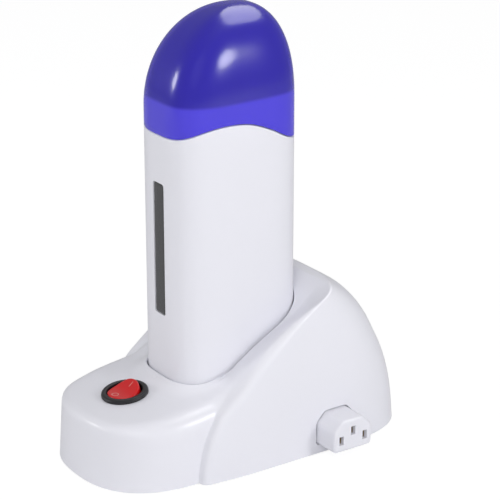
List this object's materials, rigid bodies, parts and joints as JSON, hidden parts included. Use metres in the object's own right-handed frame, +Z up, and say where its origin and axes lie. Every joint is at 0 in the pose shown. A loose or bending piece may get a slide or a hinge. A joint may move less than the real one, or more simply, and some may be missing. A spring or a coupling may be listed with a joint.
{
  "type": "roll on wax heater",
  "caption": "Hand-held roll-on wax cartridge heater with a translucent cap, standing in a mains dock with a rocker switch and a side outlet.",
  "frame": {"origin": "on the surface the dock stands on, under the middle of the handset's width", "axes": "+Z up, -Y towards the toe with the switch, +X towards the side with the outlet"},
  "size_m": [0.11, 0.1725, 0.2198],
  "materials": {
    "white_shell": "glossy moulded plastic, bluish white",
    "inner_plastic": "matt moulded plastic, white",
    "rubber": "matt black rubber",
    "steel": "plated steel",
    "black_plastic": "satin black moulded plastic",
    "brass": "stamped brass",
    "rocker_red": "translucent red moulded plastic",
    "wire_sleeve": "insulated wire",
    "window_grey": "translucent grey window",
    "aluminium": "milled aluminium",
    "heater_film": "insulating film over a ceramic element",
    "cap_blue": "clear blue moulded plastic"
  },
  "bodies": {
    "dock": {"base_shell": "white_shell", "base_bottom": "inner_plastic", "rubber_feet": "rubber", "base_screws": "steel", "dock_cup": "white_shell", "dock_cup_screws": "steel", "dock_connector": "black_plastic", "dock_contacts": "brass", "switch_housing": "black_plastic", "switch_terminals": "steel", "outlet_body": "white_shell", "outlet_contacts": "brass", "inlet_body": "black_plastic", "inlet_pins": "steel", "mains_wires": "wire_sleeve", "switch_wires": "wire_sleeve", "dock_wires": "wire_sleeve"},
    "rocker": {"switch_rocker": "rocker_red"},
    "handset": {"handset_shell": "white_shell", "handset_bottom_cap": "inner_plastic", "handset_screws": "steel", "handset_inlet": "black_plastic", "handset_inlet_pins": "steel", "handset_wires": "wire_sleeve", "window_lens": "window_grey", "cartridge_well": "inner_plastic", "well_collar": "white_shell", "heating_plates": "aluminium", "ptc_heater": "heater_film", "thermal_fuse": "heater_film"},
    "cap": {"cap": "cap_blue"}
  },
  "joints": [
    {"name": "rocker_tilt", "type": "hinge", "parent": "dock", "child": "rocker", "pos_m": [0, -0.0559, 0.03491], "axis": [1, 0, 0], "range_deg": [-24, 0]},
    {"name": "handset_lift", "type": "slide", "parent": "dock", "child": "handset", "axis": [0, 0, 1], "range_m": [0, 0.08]},
    {"name": "cap_lift", "type": "slide", "parent": "handset", "child": "cap", "axis": [0, 0, 1], "range_m": [0, 0.05]}
  ]
}
